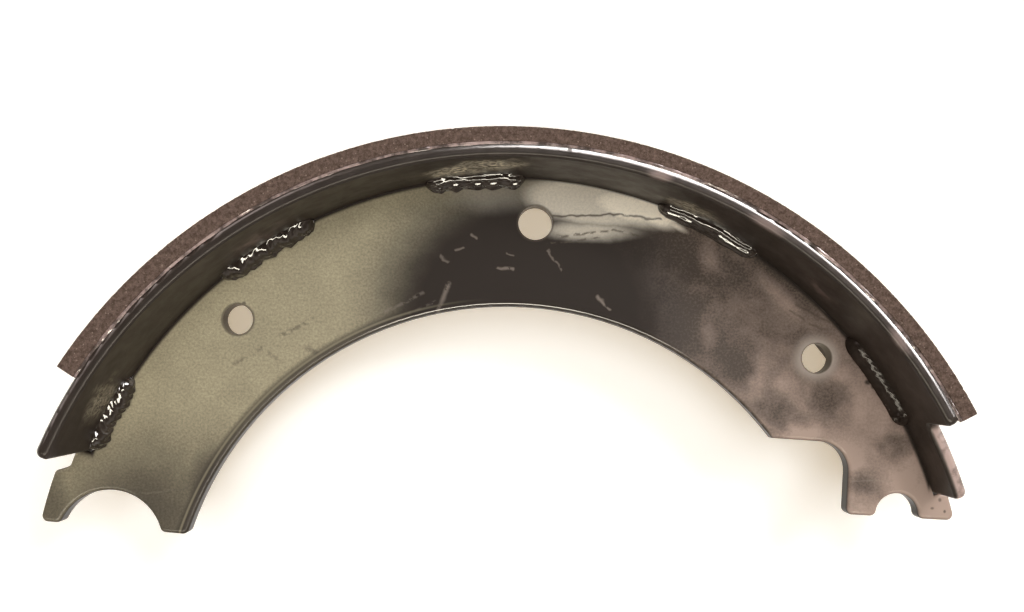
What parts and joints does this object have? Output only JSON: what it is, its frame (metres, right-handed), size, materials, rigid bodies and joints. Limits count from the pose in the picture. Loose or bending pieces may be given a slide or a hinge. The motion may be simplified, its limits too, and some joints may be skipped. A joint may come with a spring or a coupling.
{
  "type": "brake shoe",
  "caption": "Curved T-section drum brake shoe with a bonded friction lining, a notched web with holes, and fillet welds.",
  "frame": {"origin": "bottom centre of the shoe's box as it lies on its side", "axes": "+Z is along the drum's axis, up from the surface it lies on; +Y points to the crown of the arc; +X points to the adjuster end with the small notch"},
  "size_m": [0.1902, 0.08, 0.05],
  "materials": {
    "black_paint": "gloss",
    "painted_weld": "gloss",
    "friction_material": "matte, ground",
    "adhesive": "satin"
  },
  "bodies": {
    "root": {"rim": "black_paint", "web": "black_paint", "friction_lining": "friction_material", "bond_film": "adhesive", "front_weld_1": "painted_weld", "front_weld_2": "painted_weld", "front_weld_3": "painted_weld", "front_weld_4": "painted_weld", "front_weld_5": "painted_weld", "rear_weld_1": "painted_weld", "rear_weld_2": "painted_weld", "rear_weld_3": "painted_weld", "rear_weld_4": "painted_weld", "rear_weld_5": "painted_weld"}
  },
  "joints": []
}
